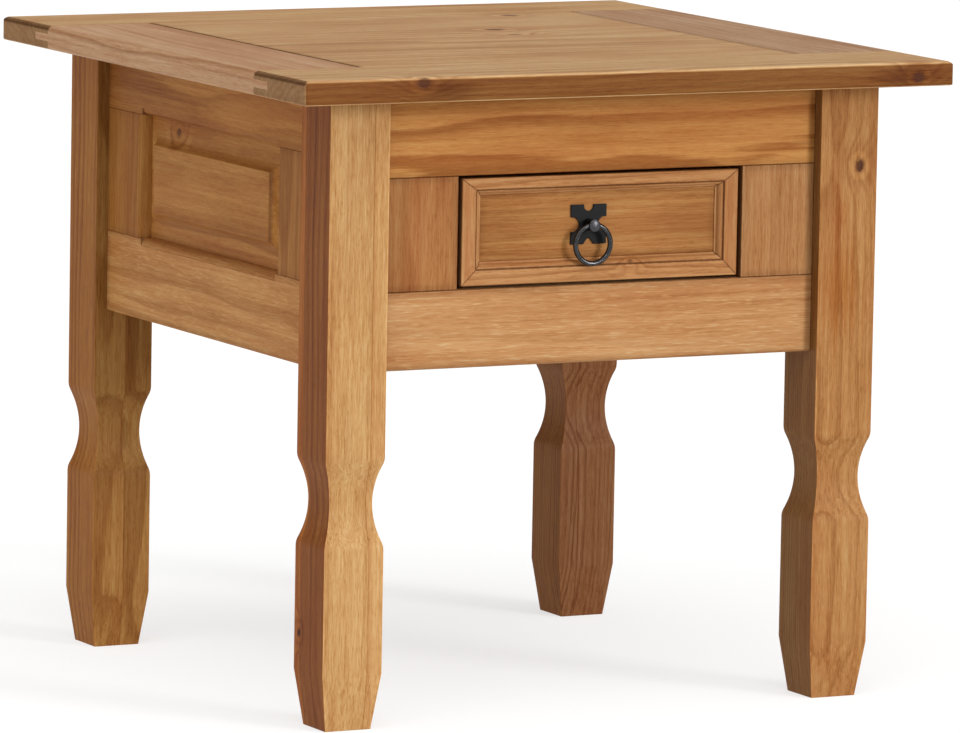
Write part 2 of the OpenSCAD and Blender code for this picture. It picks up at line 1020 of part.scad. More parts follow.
mirror([1, 0, 0]) drawer_runner();  // drawer_runner_left
drawer_runner();  // drawer_runner_right
mirror([1, 0, 0]) drawer_guide();  // drawer_guide_left
drawer_guide();  // drawer_guide_right
mirror([1, 0, 0]) drawer_kicker();  // drawer_kicker_left
drawer_kicker();  // drawer_kicker_right
drawer_stops();

rotate([0, 0, 180]) corner_block();  // corner_block_front_left
mirror([0, 1, 0]) corner_block();  // corner_block_front_right
mirror([1, 0, 0]) corner_block();  // corner_block_back_left
corner_block();  // corner_block_back_right
hanger_bolts();
hanger_washers();
hanger_nuts();

mirror([1, 0, 0]) top_batten();  // top_batten_left
top_batten();  // top_batten_right
batten_screws();

drawer_front();
on_front_edge(180) top_moulding();  // drawer_moulding_top
on_front_edge(0) bottom_moulding();  // drawer_moulding_bottom
on_front_edge(90) side_moulding();  // drawer_moulding_left
on_front_edge(270) mirror([1, 0, 0]) side_moulding();  // drawer_moulding_right
mirror([1, 0, 0]) drawer_side();  // drawer_left_side
drawer_side();  // drawer_right_side
drawer_back();
drawer_bottom();

pull_plate();
pull_post();
pull_screw();
pull_washer();
pull_ring();
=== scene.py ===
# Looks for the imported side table: timber boards with figure and softened edges, a black iron
# pull, a pale floor and soft studio light. Lengths are metres, except where a name ends in _mm.
import json
import math

import bmesh
import bpy
from mathutils import Matrix, Vector


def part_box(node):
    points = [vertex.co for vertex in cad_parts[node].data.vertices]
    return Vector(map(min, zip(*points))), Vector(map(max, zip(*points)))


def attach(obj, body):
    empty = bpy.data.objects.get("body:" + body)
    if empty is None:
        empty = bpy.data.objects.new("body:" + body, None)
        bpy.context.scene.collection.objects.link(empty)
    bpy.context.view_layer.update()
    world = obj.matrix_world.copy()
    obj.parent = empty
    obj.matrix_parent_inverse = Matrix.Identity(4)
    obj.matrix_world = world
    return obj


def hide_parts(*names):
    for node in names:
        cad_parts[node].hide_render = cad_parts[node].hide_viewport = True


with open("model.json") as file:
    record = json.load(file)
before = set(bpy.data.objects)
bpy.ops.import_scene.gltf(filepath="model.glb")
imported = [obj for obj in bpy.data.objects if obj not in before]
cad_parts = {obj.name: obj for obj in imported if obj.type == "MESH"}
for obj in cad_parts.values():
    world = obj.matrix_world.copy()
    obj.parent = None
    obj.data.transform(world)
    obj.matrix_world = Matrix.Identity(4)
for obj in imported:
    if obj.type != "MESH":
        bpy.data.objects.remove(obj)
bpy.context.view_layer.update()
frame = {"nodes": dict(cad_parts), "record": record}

NODES = frame["nodes"]
SLOTS = {part["node"]: part["material_slot"] for part in frame["record"]["subparts"]}
BODY = {node: body
        for body, nodes in frame["record"]["behaviour"]["bodies"].items() for node in nodes}
MM = 0.001


def link(name, data):
    """A new object of the scene."""
    made = bpy.data.objects.new(name, data)
    bpy.context.scene.collection.objects.link(made)
    return made


# ---------- node trees ----------

class Tree:
    """Short calls that add nodes to a shader tree and return their output socket."""

    def __init__(self, tree):
        self.tree = tree

    def add(self, kind, **settings):
        made = self.tree.nodes.new(kind)
        for name, value in settings.items():
            setattr(made, name, value)
        return made

    def put(self, socket, value):
        """Links value to an input socket, or sets it when it is a number, vector or colour."""
        if isinstance(value, bpy.types.NodeSocket):
            self.tree.links.new(value, socket)
        elif socket.type == "RGBA" and len(value) == 3:
            socket.default_value = (*value, 1.0)
        else:
            socket.default_value = value

    def math(self, operation, a, b=0.0, c=0.0):
        made = self.add("ShaderNodeMath", operation=operation)
        for socket, value in zip(made.inputs, (a, b, c)):
            self.put(socket, value)
        return made.outputs[0]

    def times(self, a, b):
        return self.math("MULTIPLY", a, b)

    def about_half(self, value, gain, base):
        """base plus gain for each 1 that value, a noise, is over its middle of 0.5."""
        return self.math("MULTIPLY_ADD", self.math("SUBTRACT", value, 0.5), gain, base)

    def vector(self, operation, a, b=(0.0, 0.0, 0.0), scale=1.0):
        made = self.add("ShaderNodeVectorMath", operation=operation)
        self.put(made.inputs[0], a)
        if operation == "SCALE":
            self.put(made.inputs["Scale"], scale)
        elif operation != "LENGTH":
            self.put(made.inputs[1], b)
        return made.outputs["Value" if operation == "LENGTH" else "Vector"]

    def ramp(self, value, low, high, to_low=0.0, to_high=1.0):
        """A smooth step from low to high."""
        made = self.add("ShaderNodeMapRange", interpolation_type="SMOOTHSTEP", clamp=True)
        for name, put in (("Value", value), ("From Min", low), ("From Max", high),
                          ("To Min", to_low), ("To Max", to_high)):
            self.put(made.inputs[name], put)
        return made.outputs["Result"]

    def noise(self, vector, detail=2.0, roughness=0.5, colour=False):
        made = self.add("ShaderNodeTexNoise", noise_dimensions="3D")
        self.put(made.inputs["Vector"], vector)
        self.put(made.inputs["Scale"], 1.0)
        self.put(made.inputs["Detail"], detail)
        self.put(made.inputs["Roughness"], roughness)
        return made.outputs["Color" if colour else "Fac"]

    def mix(self, factor, a, b):
        made = self.add("ShaderNodeMix", data_type="RGBA", blend_type="MIX", clamp_factor=True)
        self.put(made.inputs[0], factor)
        self.put(made.inputs[6], a)
        self.put(made.inputs[7], b)
        return made.outputs[2]

    def shade(self, mask, colour, factor):
        """colour, multiplied by factor where the mask is 1."""
        return self.mix(mask, colour, self.vector("MULTIPLY", colour, factor))

    def split(self, vector):
        made = self.add("ShaderNodeSeparateXYZ")
        self.put(made.inputs[0], vector)
        return made.outputs

    def join(self, x, y, z):
        made = self.add("ShaderNodeCombineXYZ")
        for socket, value in zip(made.inputs, (x, y, z)):
            self.put(socket, value)
        return made.outputs[0]

    def object_mm(self):
        """The point in the row frame at rest, in millimetres."""
        coord = self.add("ShaderNodeTexCoord")
        return self.vector("SCALE", coord.outputs["Object"], scale=1000.0)

    def bump(self, shader, height, strength, depth_mm):
        made = self.add("ShaderNodeBump")
        made.inputs["Strength"].default_value = strength
        made.inputs["Distance"].default_value = depth_mm * MM
        self.put(made.inputs["Height"], height)
        self.put(shader.inputs["Normal"], made.outputs[0])


def new_material(name):
    material = bpy.data.materials.new(name)
    material.use_nodes = True
    return material, material.node_tree.nodes["Principled BSDF"]


def new_group(name, inputs, outputs):
    tree = bpy.data.node_groups.new(name, "ShaderNodeTree")
    for title, kind, default in inputs:
        socket = tree.interface.new_socket(title, in_out="INPUT", socket_type=kind)
        if default is not None:
            socket.default_value = default
    for title in outputs:
        tree.interface.new_socket(title, in_out="OUTPUT", socket_type="NodeSocketFloat")
    t = Tree(tree)
    return tree, t, t.add("NodeGroupInput").outputs, t.add("NodeGroupOutput").inputs


# ---------- timber ----------

# Sizes of the timber's figure in mm, across the grain and along it
WARP_MM, WANDER_MM, JITTER_MM = (75, 330), (12, 140), (1.6, 26)
FIBRE_MM, STREAK_MM, FLECK_MM, PALE_MM = (0.95, 15), (3.2, 210), (0.85, 6.0), (1.3, 13)
TONE_MM, RED_MM = (48, 120), (20, 240)
# How far the first three move the rings, in mm
WARP_BY_MM, WANDER_BY_MM, JITTER_BY_MM = 26, 3.6, 1.3
# Parts of a ring's width between which late wood builds up, and then ends
LATE_RISE, LATE_FALL = (0.22, 0.84), (0.87, 0.98)
# How much late wood the poorest ring has, and how much more the richest
LATE_LEAST, LATE_SPREAD = 0.30, 0.85
# Where in the noise a dark fleck, a pale fleck and a red streak begin, and are full
FLECK_STEP, PALE_STEP, RED_STEP = (0.56, 0.72), (0.30, 0.42), (0.44, 0.70)
# Unequal steps through the noise, so that each seed has its own figure
SEED_STEP = (37.1, 91.7, 53.3)


def make_timber_group():
    """Growth rings about a pith line, fibres, flecks and broad tone, from a point in mm whose Z
    runs along the grain."""
    tree, t, given, out = new_group(
        "timber_figure",
        [("Point", "NodeSocketVector", None), ("Pith", "NodeSocketVector", None),
         ("Seed", "NodeSocketFloat", 0.0), ("Ring", "NodeSocketFloat", 4.0),
         ("Swirl", "NodeSocketFloat", 0.0)],
        ["Late", "Fibre", "Streak", "Fleck", "Pale", "Tone", "Red"],
    )
    seed = t.join(*(t.times(given["Seed"], step) for step in SEED_STEP))

    def sample(size_mm, detail=2.0, roughness=0.5, colour=False):
        across_mm, along_mm = size_mm
        per_mm = (1 / across_mm, 1 / across_mm, 1 / along_mm)
        scaled = t.vector("MULTIPLY", given["Point"], per_mm)
        return t.noise(t.vector("ADD", scaled, seed), detail, roughness, colour)

    warp = t.vector("SUBTRACT", sample(WARP_MM, colour=True), (0.5, 0.5, 0.5))
    warp = t.vector("MULTIPLY", warp, (WARP_BY_MM, WARP_BY_MM, 0))
    place = t.vector("SUBTRACT", t.vector("ADD", given["Point"], warp), given["Pith"])
    from_pith = t.vector("LENGTH", t.vector("MULTIPLY", place, (1, 1, 0)))
    wander = t.about_half(sample(WANDER_MM), WANDER_BY_MM, 0.0)
    jitter = t.about_half(sample(JITTER_MM, 3), JITTER_BY_MM, 0.0)
    distance = t.math("ADD", t.math("ADD", from_pith, wander),
                      t.math("ADD", given["Swirl"], jitter))
    ring = t.math("DIVIDE", distance, given["Ring"])
    phase = t.math("FRACT", ring)
    each = t.add("ShaderNodeTexWhiteNoise", noise_dimensions="1D")
    t.put(each.inputs["W"], t.math("ADD", t.math("FLOOR", ring), given["Seed"]))
    late = t.times(t.ramp(phase, *LATE_RISE), t.ramp(phase, *LATE_FALL, 1.0, 0.0))
    strength = t.math("MULTIPLY_ADD", each.outputs["Value"], LATE_SPREAD, LATE_LEAST)
    t.put(out["Late"], t.times(late, strength))
    t.put(out["Fibre"], sample(FIBRE_MM, 4, 0.74))
    t.put(out["Streak"], sample(STREAK_MM, 3, 0.6))
    t.put(out["Fleck"], t.ramp(sample(FLECK_MM, 1), *FLECK_STEP))
    t.put(out["Pale"], t.ramp(sample(PALE_MM, 1), *PALE_STEP, 1.0, 0.0))
    t.put(out["Tone"], sample(TONE_MM))
    t.put(out["Red"], sample(RED_MM, 2, 0.55))
    return tree


TIMBER = make_timber_group()

# How a point in the row frame turns into (across, across, along) for a board whose grain runs
# along each axis
GRAIN_ORDER = {"X": (1, 2, 0), "Y": (0, 2, 1), "Z": (0, 1, 2)}

# A board's parts as factors of its tint, and two colours of their own
EARLY_WOOD, LATE_WOOD, RED_WOOD = (1.12, 1.15, 1.20), (0.70, 0.56, 0.44), (0.86, 0.66, 0.56)
KNOT_HALO, KNOT_RIM = (0.70, 0.52, 0.42), (1.22, 1.32, 1.36)
# RUBBED lightens worn arrises; the other colour on this line darkens joints, as dirt and as
# painted shade.
RUBBED, GRIMY_AND_SHADED = (1.45, 1.42, 1.36), (0.24, 0.17, 0.13)
END_GRAIN, KNOT_CORE = (0.170, 0.100, 0.055), (0.045, 0.014, 0.008)
# How much each part of the figure changes the brightness
TONE_GAIN, STREAK_GAIN, FIBRE_GAIN, FLECK_GAIN, PALE_GAIN = 0.60, 0.90, 1.25, -0.32, 0.20
END_GAIN, GLUE_GAIN = -0.22, -0.30
# How much redder a dark fibre is than a pale one
WARM_DARKS = 0.45
# A step between the seeds of two glued strips, and where a glue line is full and ends, in mm
STRIP_SEED, GLUE_STEP_MM = 3.7, (0.15, 0.65)
# How near to straight on a face has to be to count as facing an axis
FACING_STEP = (0.6, 0.85)
# Darker patches, stains and painted shade: stretch along the grain, where they are full and end
# in radii, raggedness
PATCH_STRETCH, PATCH_STEP, PATCH_RAGGED = 0.4, (0.1, 1.2), 1.6
# Knots, in radii: where the core and halo are full and end, and the pale rim between them
KNOT_STRETCH, CORE_STEP, HALO_STEP, HALO_PART = 0.8, (0.55, 1.0), (1.9, 4.2), 0.45
RIM_AT, RIM_STEP = 1.5, (0.15, 0.55)
# How many ring widths the rings swell at a knot, how fast that fades, the base of that
# fading, and how the core is ringed
SWELL_RINGS, SWELL_FADE, E = 2.4, -0.10, 2.718
CORE_RINGS, CORE_RING_GAIN = 9.0, 0.15
# How ragged knots and creases are, and the size of that noise per mm
RAGGED_BY, RAGGED_PER_MM = 0.7, 0.45
# Rubbed arrises: reach in mm, and the streaks that they follow
RUB_STEP_MM, RUB_STREAKS, RUB_LEAST = (0.35, 1.7), (0.36, 0.60), 0.25
# Dirt and painted shade in a seam: its line in seam widths, and the faint painted shade that
# reaches further, in mm
SEAM_LINE, SEAM_REACH_MM, SEAM_REACH_PART, SEAM_RAGGED = (0.28, 0.95), (0.5, 6.5), 0.32, 0.9
# How far the top arris of a board's end tilts where its dark wax begins and is full
END_TILT = (0.12, 0.38)
# A moulding's lines in mm, each with its darkness: mitre, and the crease and outer edge as
# painted shade
MITRE_STEP_MM = (0.3, 1.0)
CREASE_STEP_MM, CREASE_DARK = (0.35, 1.0), 0.8
OUTER_STEP_MM, OUTER_DARK = (0.05, 0.5), 0.78
# What changes the roughness
FIBRE_ROUGH, END_ROUGH, RUB_ROUGH, GRIME_ROUGH = 0.22, 0.2, -0.10, 0.2
# What changes the height for the bump
LATE_UP, FIBRE_UP, FLECK_DOWN, GLUE_DOWN, CORE_DOWN = 0.40, 0.9, -0.45, -0.5, -0.6
# Waxed timber has almost no mirror gloss
TIMBER_SPECULAR, TIMBER_BUMP, TIMBER_BUMP_MM = 0.05, 0.7, 0.2


def index(axis):
    return "XYZ".index(axis)


def near_point(t, where, place, radius, grain, stretch):
    """Distance from a place on the board, in radii, and shorter along the grain."""
    squeeze = [1.0, 1.0, 1.0]
    squeeze[index(grain)] = stretch
    away = t.vector("MULTIPLY", t.vector("SUBTRACT", where, tuple(place)), tuple(squeeze))
    return t.math("DIVIDE", t.vector("LENGTH", away), radius)


def edge_distance(t, axes, half, square_leg):
    """How far a point on a board's face is from the face's nearest edge, in mm."""
    if square_leg:
        across = [t.math("ABSOLUTE", axes[k]) for k in (0, 1)]
        return t.math("ABSOLUTE", t.math("SUBTRACT", *across))
    a, b, c = (t.math("SUBTRACT", half[k], t.math("ABSOLUTE", axes[k])) for k in range(3))
    nearest_two = t.math("MINIMUM", t.math("MAXIMUM", a, b), c)
    return t.math("MAXIMUM", t.math("MINIMUM", a, b), nearest_two)


def glued_strips(t, axes, strips, seed):
    """Each side of a glue line has its own figure and tone: seed, tone and line mask."""
    tone, glue = 0.0, 0.0
    for axis, offset, step in strips:
        position = axes[index(axis)]
        side = t.math("GREATER_THAN", position, offset)
        seed = t.math("MULTIPLY_ADD", side, STRIP_SEED, seed)
        tone = t.math("MULTIPLY_ADD", side, step, tone)
        gap = t.math("ABSOLUTE", t.math("SUBTRACT", position, offset))
        glue = t.math("MAXIMUM", t.ramp(gap, *GLUE_STEP_MM, 1.0, 0.0), glue)
    return seed, tone, glue


def knot_masks(t, where, knots, grain, ring, ragged):
    """The rings swell round each knot, and its own core is darker, with a dark halo and a pale
    rim: swirl, core, halo and rim."""
    swirl, core, halo, rim = 0.0, 0.0, 0.0, 0.0
    for place, radius, darkness in knots:
        reach = near_point(t, where, place, radius, grain, KNOT_STRETCH)
        reach = t.math("ADD", reach, ragged)
        near = t.math("POWER", E, t.times(t.times(reach, reach), SWELL_FADE))
        swirl = t.math("MULTIPLY_ADD", near, ring * SWELL_RINGS, swirl)
        core = t.math("MAXIMUM", t.ramp(reach, *CORE_STEP, darkness, 0.0), core)
        halo = t.math("MAXIMUM", t.ramp(reach, *HALO_STEP, darkness * HALO_PART, 0.0), halo)
        rim_gap = t.math("ABSOLUTE", t.math("SUBTRACT", reach, RIM_AT))
        rim = t.math("MAXIMUM", t.ramp(rim_gap, *RIM_STEP, darkness, 0.0), rim)
    return swirl, core, halo, rim


def mitre_grime_and_shade(t, axes, half, mitre, ragged, grime_and_shade):
    """Adds a moulding's dark lines to the seams' darkening: its mitres, and painted shade along
    its crease and its outer edge.
    """
    along, across = mitre["along"], mitre["across"]
    outward = t.math("SUBTRACT", half[across], t.times(axes[across], mitre["outward"]))
    for sign, slope in mitre["ends"]:
        inward = t.math("SUBTRACT", half[along], t.times(axes[along], sign))
        off = t.math("ABSOLUTE", t.math("SUBTRACT", inward, t.times(outward, slope)))
        grime_and_shade = t.math("MAXIMUM", grime_and_shade, t.ramp(off, *MITRE_STEP_MM, mitre["dark"], 0.0))
    crease = t.math("ABSOLUTE", t.math("SUBTRACT", outward, mitre["bead"]))
    crease = t.math("ADD", crease, ragged)
    grime_and_shade = t.math("MAXIMUM", grime_and_shade, t.ramp(crease, *CREASE_STEP_MM, CREASE_DARK, 0.0))
    return t.math("MAXIMUM", grime_and_shade, t.ramp(outward, *OUTER_STEP_MM, OUTER_DARK, 0.0))


def timber(name, grain, box_mm, tint, pith=(20, -46), ring=4.5, seed=0.0, contrast=0.6, knots=(),
           strips=(), rough=0.44, fleck=0.5, pale=0.4, patches=(), stain=0.5, seam=0.5, wear=0.3,
           square_leg=False, faces=None, calm=None, mitre=None, fibre=1.0, seam_mm=1.0,
           end_arris=0.0):
    """A waxed board.

    grain is the axis its fibres follow, tint its average colour, and box_mm what shows of it.
    pith is (across, across) from the box's centre and ring the rings' width, both in mm, and
    contrast how dark late wood is. seed picks the figure.
    knots are (point_mm, radius_mm, darkness), strips are (axis, offset_mm, tone) glue lines,
    and patches are (point_mm, radius_mm, factor, strength): stains, and painted shade on the left
    top rail.
    rough is the middle of its roughness. fibre, fleck, pale and stain are how strong its fibres,
    dark flecks, pale flecks and red streaks are.
    seam and seam_mm are the dirt and painted shade in the joints round it and that line's width.
    wear lightens its arrises, and end_arris darkens the arris of its ends.
    square_leg measures edges as on a leg whose section changes. faces are {axis: factor} for
    sides of another colour, and for painted shade on sides that face the drawer's gap; calm
    {axis: part} for sides with less figure.
    mitre holds a moulding's lines, as mitre_grime_and_shade reads them.
    """
    material, shader = new_material(name)
    t = Tree(material.node_tree)
    where = t.object_mm()
    low, high = (Vector(corner) for corner in box_mm)
    middle, half = (low + high) / 2, (high - low) / 2
    axes = t.split(t.vector("SUBTRACT", where, tuple(middle)))
    point = t.join(*(axes[k] for k in GRAIN_ORDER[grain]))
    early, late, red = (tuple(c * k for c, k in zip(tint, factor))
                        for factor in (EARLY_WOOD, LATE_WOOD, RED_WOOD))

    strip_seed, strip_tone, glue = glued_strips(t, axes, strips, seed)
    rough_noise = t.noise(t.vector("SCALE", where, scale=RAGGED_PER_MM))
    ragged = t.about_half(rough_noise, RAGGED_BY, 0.0)
    swirl, core, halo, rim = knot_masks(t, where, knots, grain, ring, ragged)

    figure = t.add("ShaderNodeGroup", node_tree=TIMBER)
    for title, value in (("Point", point), ("Pith", (pith[0], pith[1], 0.0)),
                         ("Seed", strip_seed), ("Ring", ring), ("Swirl", swirl)):
        t.put(figure.inputs[title], value)
    fig = figure.outputs

    normals = t.split(t.add("ShaderNodeTexCoord").outputs["Normal"])
    facing = [t.ramp(t.math("ABSOLUTE", n), *FACING_STEP) for n in normals]
    end = facing[index(grain)]

    late_wood, broad = t.times(fig["Late"], contrast), TONE_GAIN
    for axis, amount in (calm or {}).items():
        quiet = t.math("MULTIPLY_ADD", facing[index(axis)], -amount, 1.0)
        late_wood, broad = t.times(late_wood, quiet), t.times(quiet, TONE_GAIN)
    colour = t.mix(late_wood, early, late)
    colour = t.mix(t.ramp(fig["Red"], *RED_STEP, 0.0, stain), colour, red)
    # broad tone, streaks, fibres and flecks as one brightness
    light = t.about_half(fig["Tone"], broad, 1.0)
    light = t.about_half(fig["Streak"], STREAK_GAIN, light)
    light = t.about_half(fig["Fibre"], FIBRE_GAIN * fibre, light)
    light = t.math("MULTIPLY_ADD", fig["Fleck"], FLECK_GAIN * fleck, light)
    light = t.math("MULTIPLY_ADD", fig["Pale"], PALE_GAIN * pale, light)
    light = t.times(light, t.math("MULTIPLY_ADD", end, END_GAIN, 1.0))
    light = t.times(light, t.math("MULTIPLY_ADD", glue, GLUE_GAIN, 1.0))
    warm = t.times(t.math("SUBTRACT", 1.0, light), WARM_DARKS)
    redder = t.join(t.math("ADD", warm, 1.0), 1.0, t.math("SUBTRACT", 1.0, warm))
    colour = t.vector("MULTIPLY", t.vector("SCALE", colour, scale=light), redder)
    colour = t.vector("SCALE", colour, scale=t.math("ADD", strip_tone, 1.0))
    colour = t.mix(t.times(end, 0.5), colour, END_GRAIN)
    # sides of another colour, and painted shade on sides that face the drawer's gap
    for axis, factor in (faces or {}).items():
        colour = t.shade(facing[index(axis)], colour, factor)
    # darker patches: stains, and painted shade on the left top rail
    for place, radius, factor, strength in patches:
        reach = near_point(t, where, place, radius, grain, PATCH_STRETCH)
        reach = t.about_half(fig["Streak"], PATCH_RAGGED, reach)
        colour = t.shade(t.ramp(reach, *PATCH_STEP, strength, 0.0), colour, factor)
    if knots:
        colour = t.shade(halo, colour, KNOT_HALO)
        colour = t.shade(rim, colour, KNOT_RIM)
        wave = t.math("SINE", t.times(fig["Late"], CORE_RINGS))
        ringed = t.math("MULTIPLY_ADD", wave, CORE_RING_GAIN, 1.0 - CORE_RING_GAIN)
        colour = t.mix(t.times(core, ringed), colour, KNOT_CORE)

    # rubbed arrises, and wax and dust gathered in the joints, with painted shade in and beside
    # them
    distance = edge_distance(t, axes, half, square_leg)
    rub = t.times(t.ramp(distance, *RUB_STEP_MM, 1.0, 0.0),
                  t.ramp(fig["Streak"], *RUB_STREAKS, RUB_LEAST, 1.0))
    rub = t.times(rub, wear)
    colour = t.shade(rub, colour, RUBBED)
    ragged_edge = t.about_half(fig["Fibre"], SEAM_RAGGED, distance)
    line_mm = [part * seam_mm for part in SEAM_LINE]
    grime_and_shade = t.times(t.ramp(ragged_edge, *line_mm, 1.0, 0.0), seam)
    grime_and_shade = t.math("MAXIMUM", grime_and_shade,
                   t.ramp(ragged_edge, *SEAM_REACH_MM, SEAM_REACH_PART * seam, 0.0))
    if end_arris:
        tilt = t.times(t.math("ABSOLUTE", normals[index(grain)]), normals[2])
        grime_and_shade = t.math("MAXIMUM", grime_and_shade, t.ramp(tilt, *END_TILT, 0.0, end_arris))
    if mitre:
        grime_and_shade = mitre_grime_and_shade(t, axes, half, mitre, ragged, grime_and_shade)
    colour = t.shade(grime_and_shade, colour, GRIMY_AND_SHADED)
    t.put(shader.inputs["Base Color"], colour)

    gloss = t.math("MULTIPLY_ADD", fig["Fibre"], FIBRE_ROUGH, rough - FIBRE_ROUGH / 2)
    gloss = t.math("MULTIPLY_ADD", end, END_ROUGH, gloss)
    gloss = t.math("MULTIPLY_ADD", rub, RUB_ROUGH, gloss)
    t.put(shader.inputs["Roughness"], t.math("MULTIPLY_ADD", grime_and_shade, GRIME_ROUGH, gloss))
    shader.inputs["Specular IOR Level"].default_value = TIMBER_SPECULAR

    height = t.math("MULTIPLY_ADD", fig["Late"], LATE_UP, t.times(fig["Fibre"], FIBRE_UP))
    height = t.math("MULTIPLY_ADD", fig["Fleck"], FLECK_DOWN, height)
    height = t.math("MULTIPLY_ADD", glue, GLUE_DOWN, height)
    if knots:
        height = t.math("MULTIPLY_ADD", core, CORE_DOWN, height)
    t.bump(shader, height, TIMBER_BUMP, TIMBER_BUMP_MM)
    return material


def bare_wood(name, grain, box_mm, seed, plies=False):
    """Unfinished planed softwood, or thin plywood, for what is seen inside and underneath."""
    tint = (0.46, 0.29, 0.15) if plies else (0.50, 0.30, 0.145)
    return timber(name, grain, box_mm, tint, pith=(12, -70), ring=5.5, seed=seed, contrast=0.55,
                  rough=0.66, fleck=0.4, stain=0.2, seam=0.3, wear=0.15)


# ---------- metal ----------

# How coarse the broad unevenness is beside the fine, how much each changes the brightness,
# how much the broad adds to the bump, and how deep the pits are
BROAD_TO_FINE, UNEVEN_GAIN, BROAD_UP, PIT_DEPTH_MM = 7, 0.7, 0.8, 0.12
# Where in the fine and in the broad unevenness metal is rubbed, and the spread of its roughness
RUBBED_FINE, RUBBED_BROAD, METAL_ROUGH = (0.52, 0.75), (0.35, 0.6), 0.22


def metal(name, tint, rough, metallic, grain_mm, wear, bright=(0.55, 0.55, 0.56), pits=0.25,
          sheen=0.5):
    """A metal part: uneven finish, small pits, and rubbed places of the colour bright (on the
    ring, partly painted highlight).
    """
    material, shader = new_material(name)
    t = Tree(material.node_tree)
    where = t.object_mm()
    fine = t.noise(t.vector("SCALE", where, scale=1 / grain_mm), 3, 0.6)
    broad = t.noise(t.vector("SCALE", where, scale=1 / (grain_mm * BROAD_TO_FINE)))
    light = t.about_half(fine, UNEVEN_GAIN, 1.0)
    light = t.about_half(broad, UNEVEN_GAIN, light)
    colour = t.vector("SCALE", tint, scale=light)
    rubbed = t.times(t.ramp(fine, *RUBBED_FINE), t.ramp(broad, *RUBBED_BROAD))
    t.put(shader.inputs["Base Color"], t.mix(t.times(rubbed, wear), colour, bright))
    gloss = t.math("MULTIPLY_ADD", fine, METAL_ROUGH, rough - METAL_ROUGH / 2)
    t.put(shader.inputs["Roughness"], gloss)
    shader.inputs["Metallic"].default_value = metallic
    shader.inputs["Specular IOR Level"].default_value = sheen
    t.bump(shader, t.math("MULTIPLY_ADD", broad, BROAD_UP, fine), pits, PIT_DEPTH_MM)
    return material


# ---------- meshes ----------

# Edges that turn by more than this are arrises, and corners over the second stay sharp in shade
ARRIS_DEG, SHARP_SHADE_DEG = 24, 35
# Faces that turn by less than this are one face
FLAT_DEG = 0.2
# Points nearer than these are one point, before and after the arrises are rounded
WELD_MM, WELD_AFTER_MM = 0.002, 0.001
# The roundness of an arris, and how strongly large faces keep their neighbours' shading flat
ARRIS_PROFILE, FACE_WEIGHT = 0.6, 60


def soften(node, width_mm, segments=2, name=None):
    """A board with the node's shape and place, its arrises rounded over; it replaces the node."""
    name = name or node + "_wood"
    bm = bmesh.new()
    bm.from_mesh(NODES[node].data)
    bmesh.ops.remove_doubles(bm, verts=bm.verts, dist=WELD_MM * MM)
    bmesh.ops.dissolve_limit(bm, angle_limit=math.radians(FLAT_DEG), verts=bm.verts,
                             edges=bm.edges)
    limit = math.radians(ARRIS_DEG)
    arrises = [e for e in bm.edges if len(e.link_faces) == 2 and e.calc_face_angle(0) > limit]
    bmesh.ops.bevel(bm, geom=arrises, offset=width_mm * MM, segments=segments,
                    profile=ARRIS_PROFILE, affect="EDGES", clamp_overlap=True)
    bmesh.ops.remove_doubles(bm, verts=bm.verts, dist=WELD_AFTER_MM * MM)
    bmesh.ops.recalc_face_normals(bm, faces=bm.faces)
    mesh = bpy.data.meshes.new(name)
    bm.to_mesh(mesh)
    bm.free()
    mesh.shade_smooth()
    mesh.set_sharp_from_angle(angle=math.radians(SHARP_SHADE_DEG))
    piece = link(name, mesh)
    keep_flat = piece.modifiers.new("flat_faces", "WEIGHTED_NORMAL")
    keep_flat.keep_sharp = True
    keep_flat.weight = FACE_WEIGHT
    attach(piece, BODY[node])
    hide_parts(node)
    return piece


def box_mm(node, **clip):
    """What shows of a node, in mm: its box, cut back along an axis where its tenons or tongues
    are hidden."""
    low, high = (list(corner * 1000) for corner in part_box(node))
    for axis, (start, stop) in clip.items():
        low[index(axis)], high[index(axis)] = start, stop
    return low, high


LOW, HIGH = "low", "high"


def spot(node, *place):
    """A place on a node in mm. For each axis, place is LOW or HIGH for that side of the node's
    box, or how far the spot is from the low side."""
    low, high = box_mm(node)
    sides = {LOW: low, HIGH: high}
    return tuple(sides[p][k] if p in sides else low[k] + p for k, p in enumerate(place))


def dress(piece, material):
    piece.data.materials.clear()
    piece.data.materials.append(material)


def board(node, grain, tint, width_mm=0.45, clip=None, **figure):
    """A waxed board; width_mm is how far its arrises are rounded."""
    piece = soften(node, width_mm)
    shown = box_mm(node, **(clip or {}))
    dress(piece, timber(node + "_pine", grain, shown, tint, **figure))


# ---------- the boards ----------

# The parts that hide tenons and tongues, in mm
LEG_IN = box_mm("leg_front_left")[1][0]
SEAM_X, SEAM_Y = box_mm("top_right_board")[0][0], box_mm("top_back_board")[0][1]
# A distance that puts a board's end out of reach of its seam's grime
FAR = 400.0
BETWEEN_X, BETWEEN_Y = {"X": (LEG_IN, -LEG_IN)}, {"Y": (LEG_IN, -LEG_IN)}

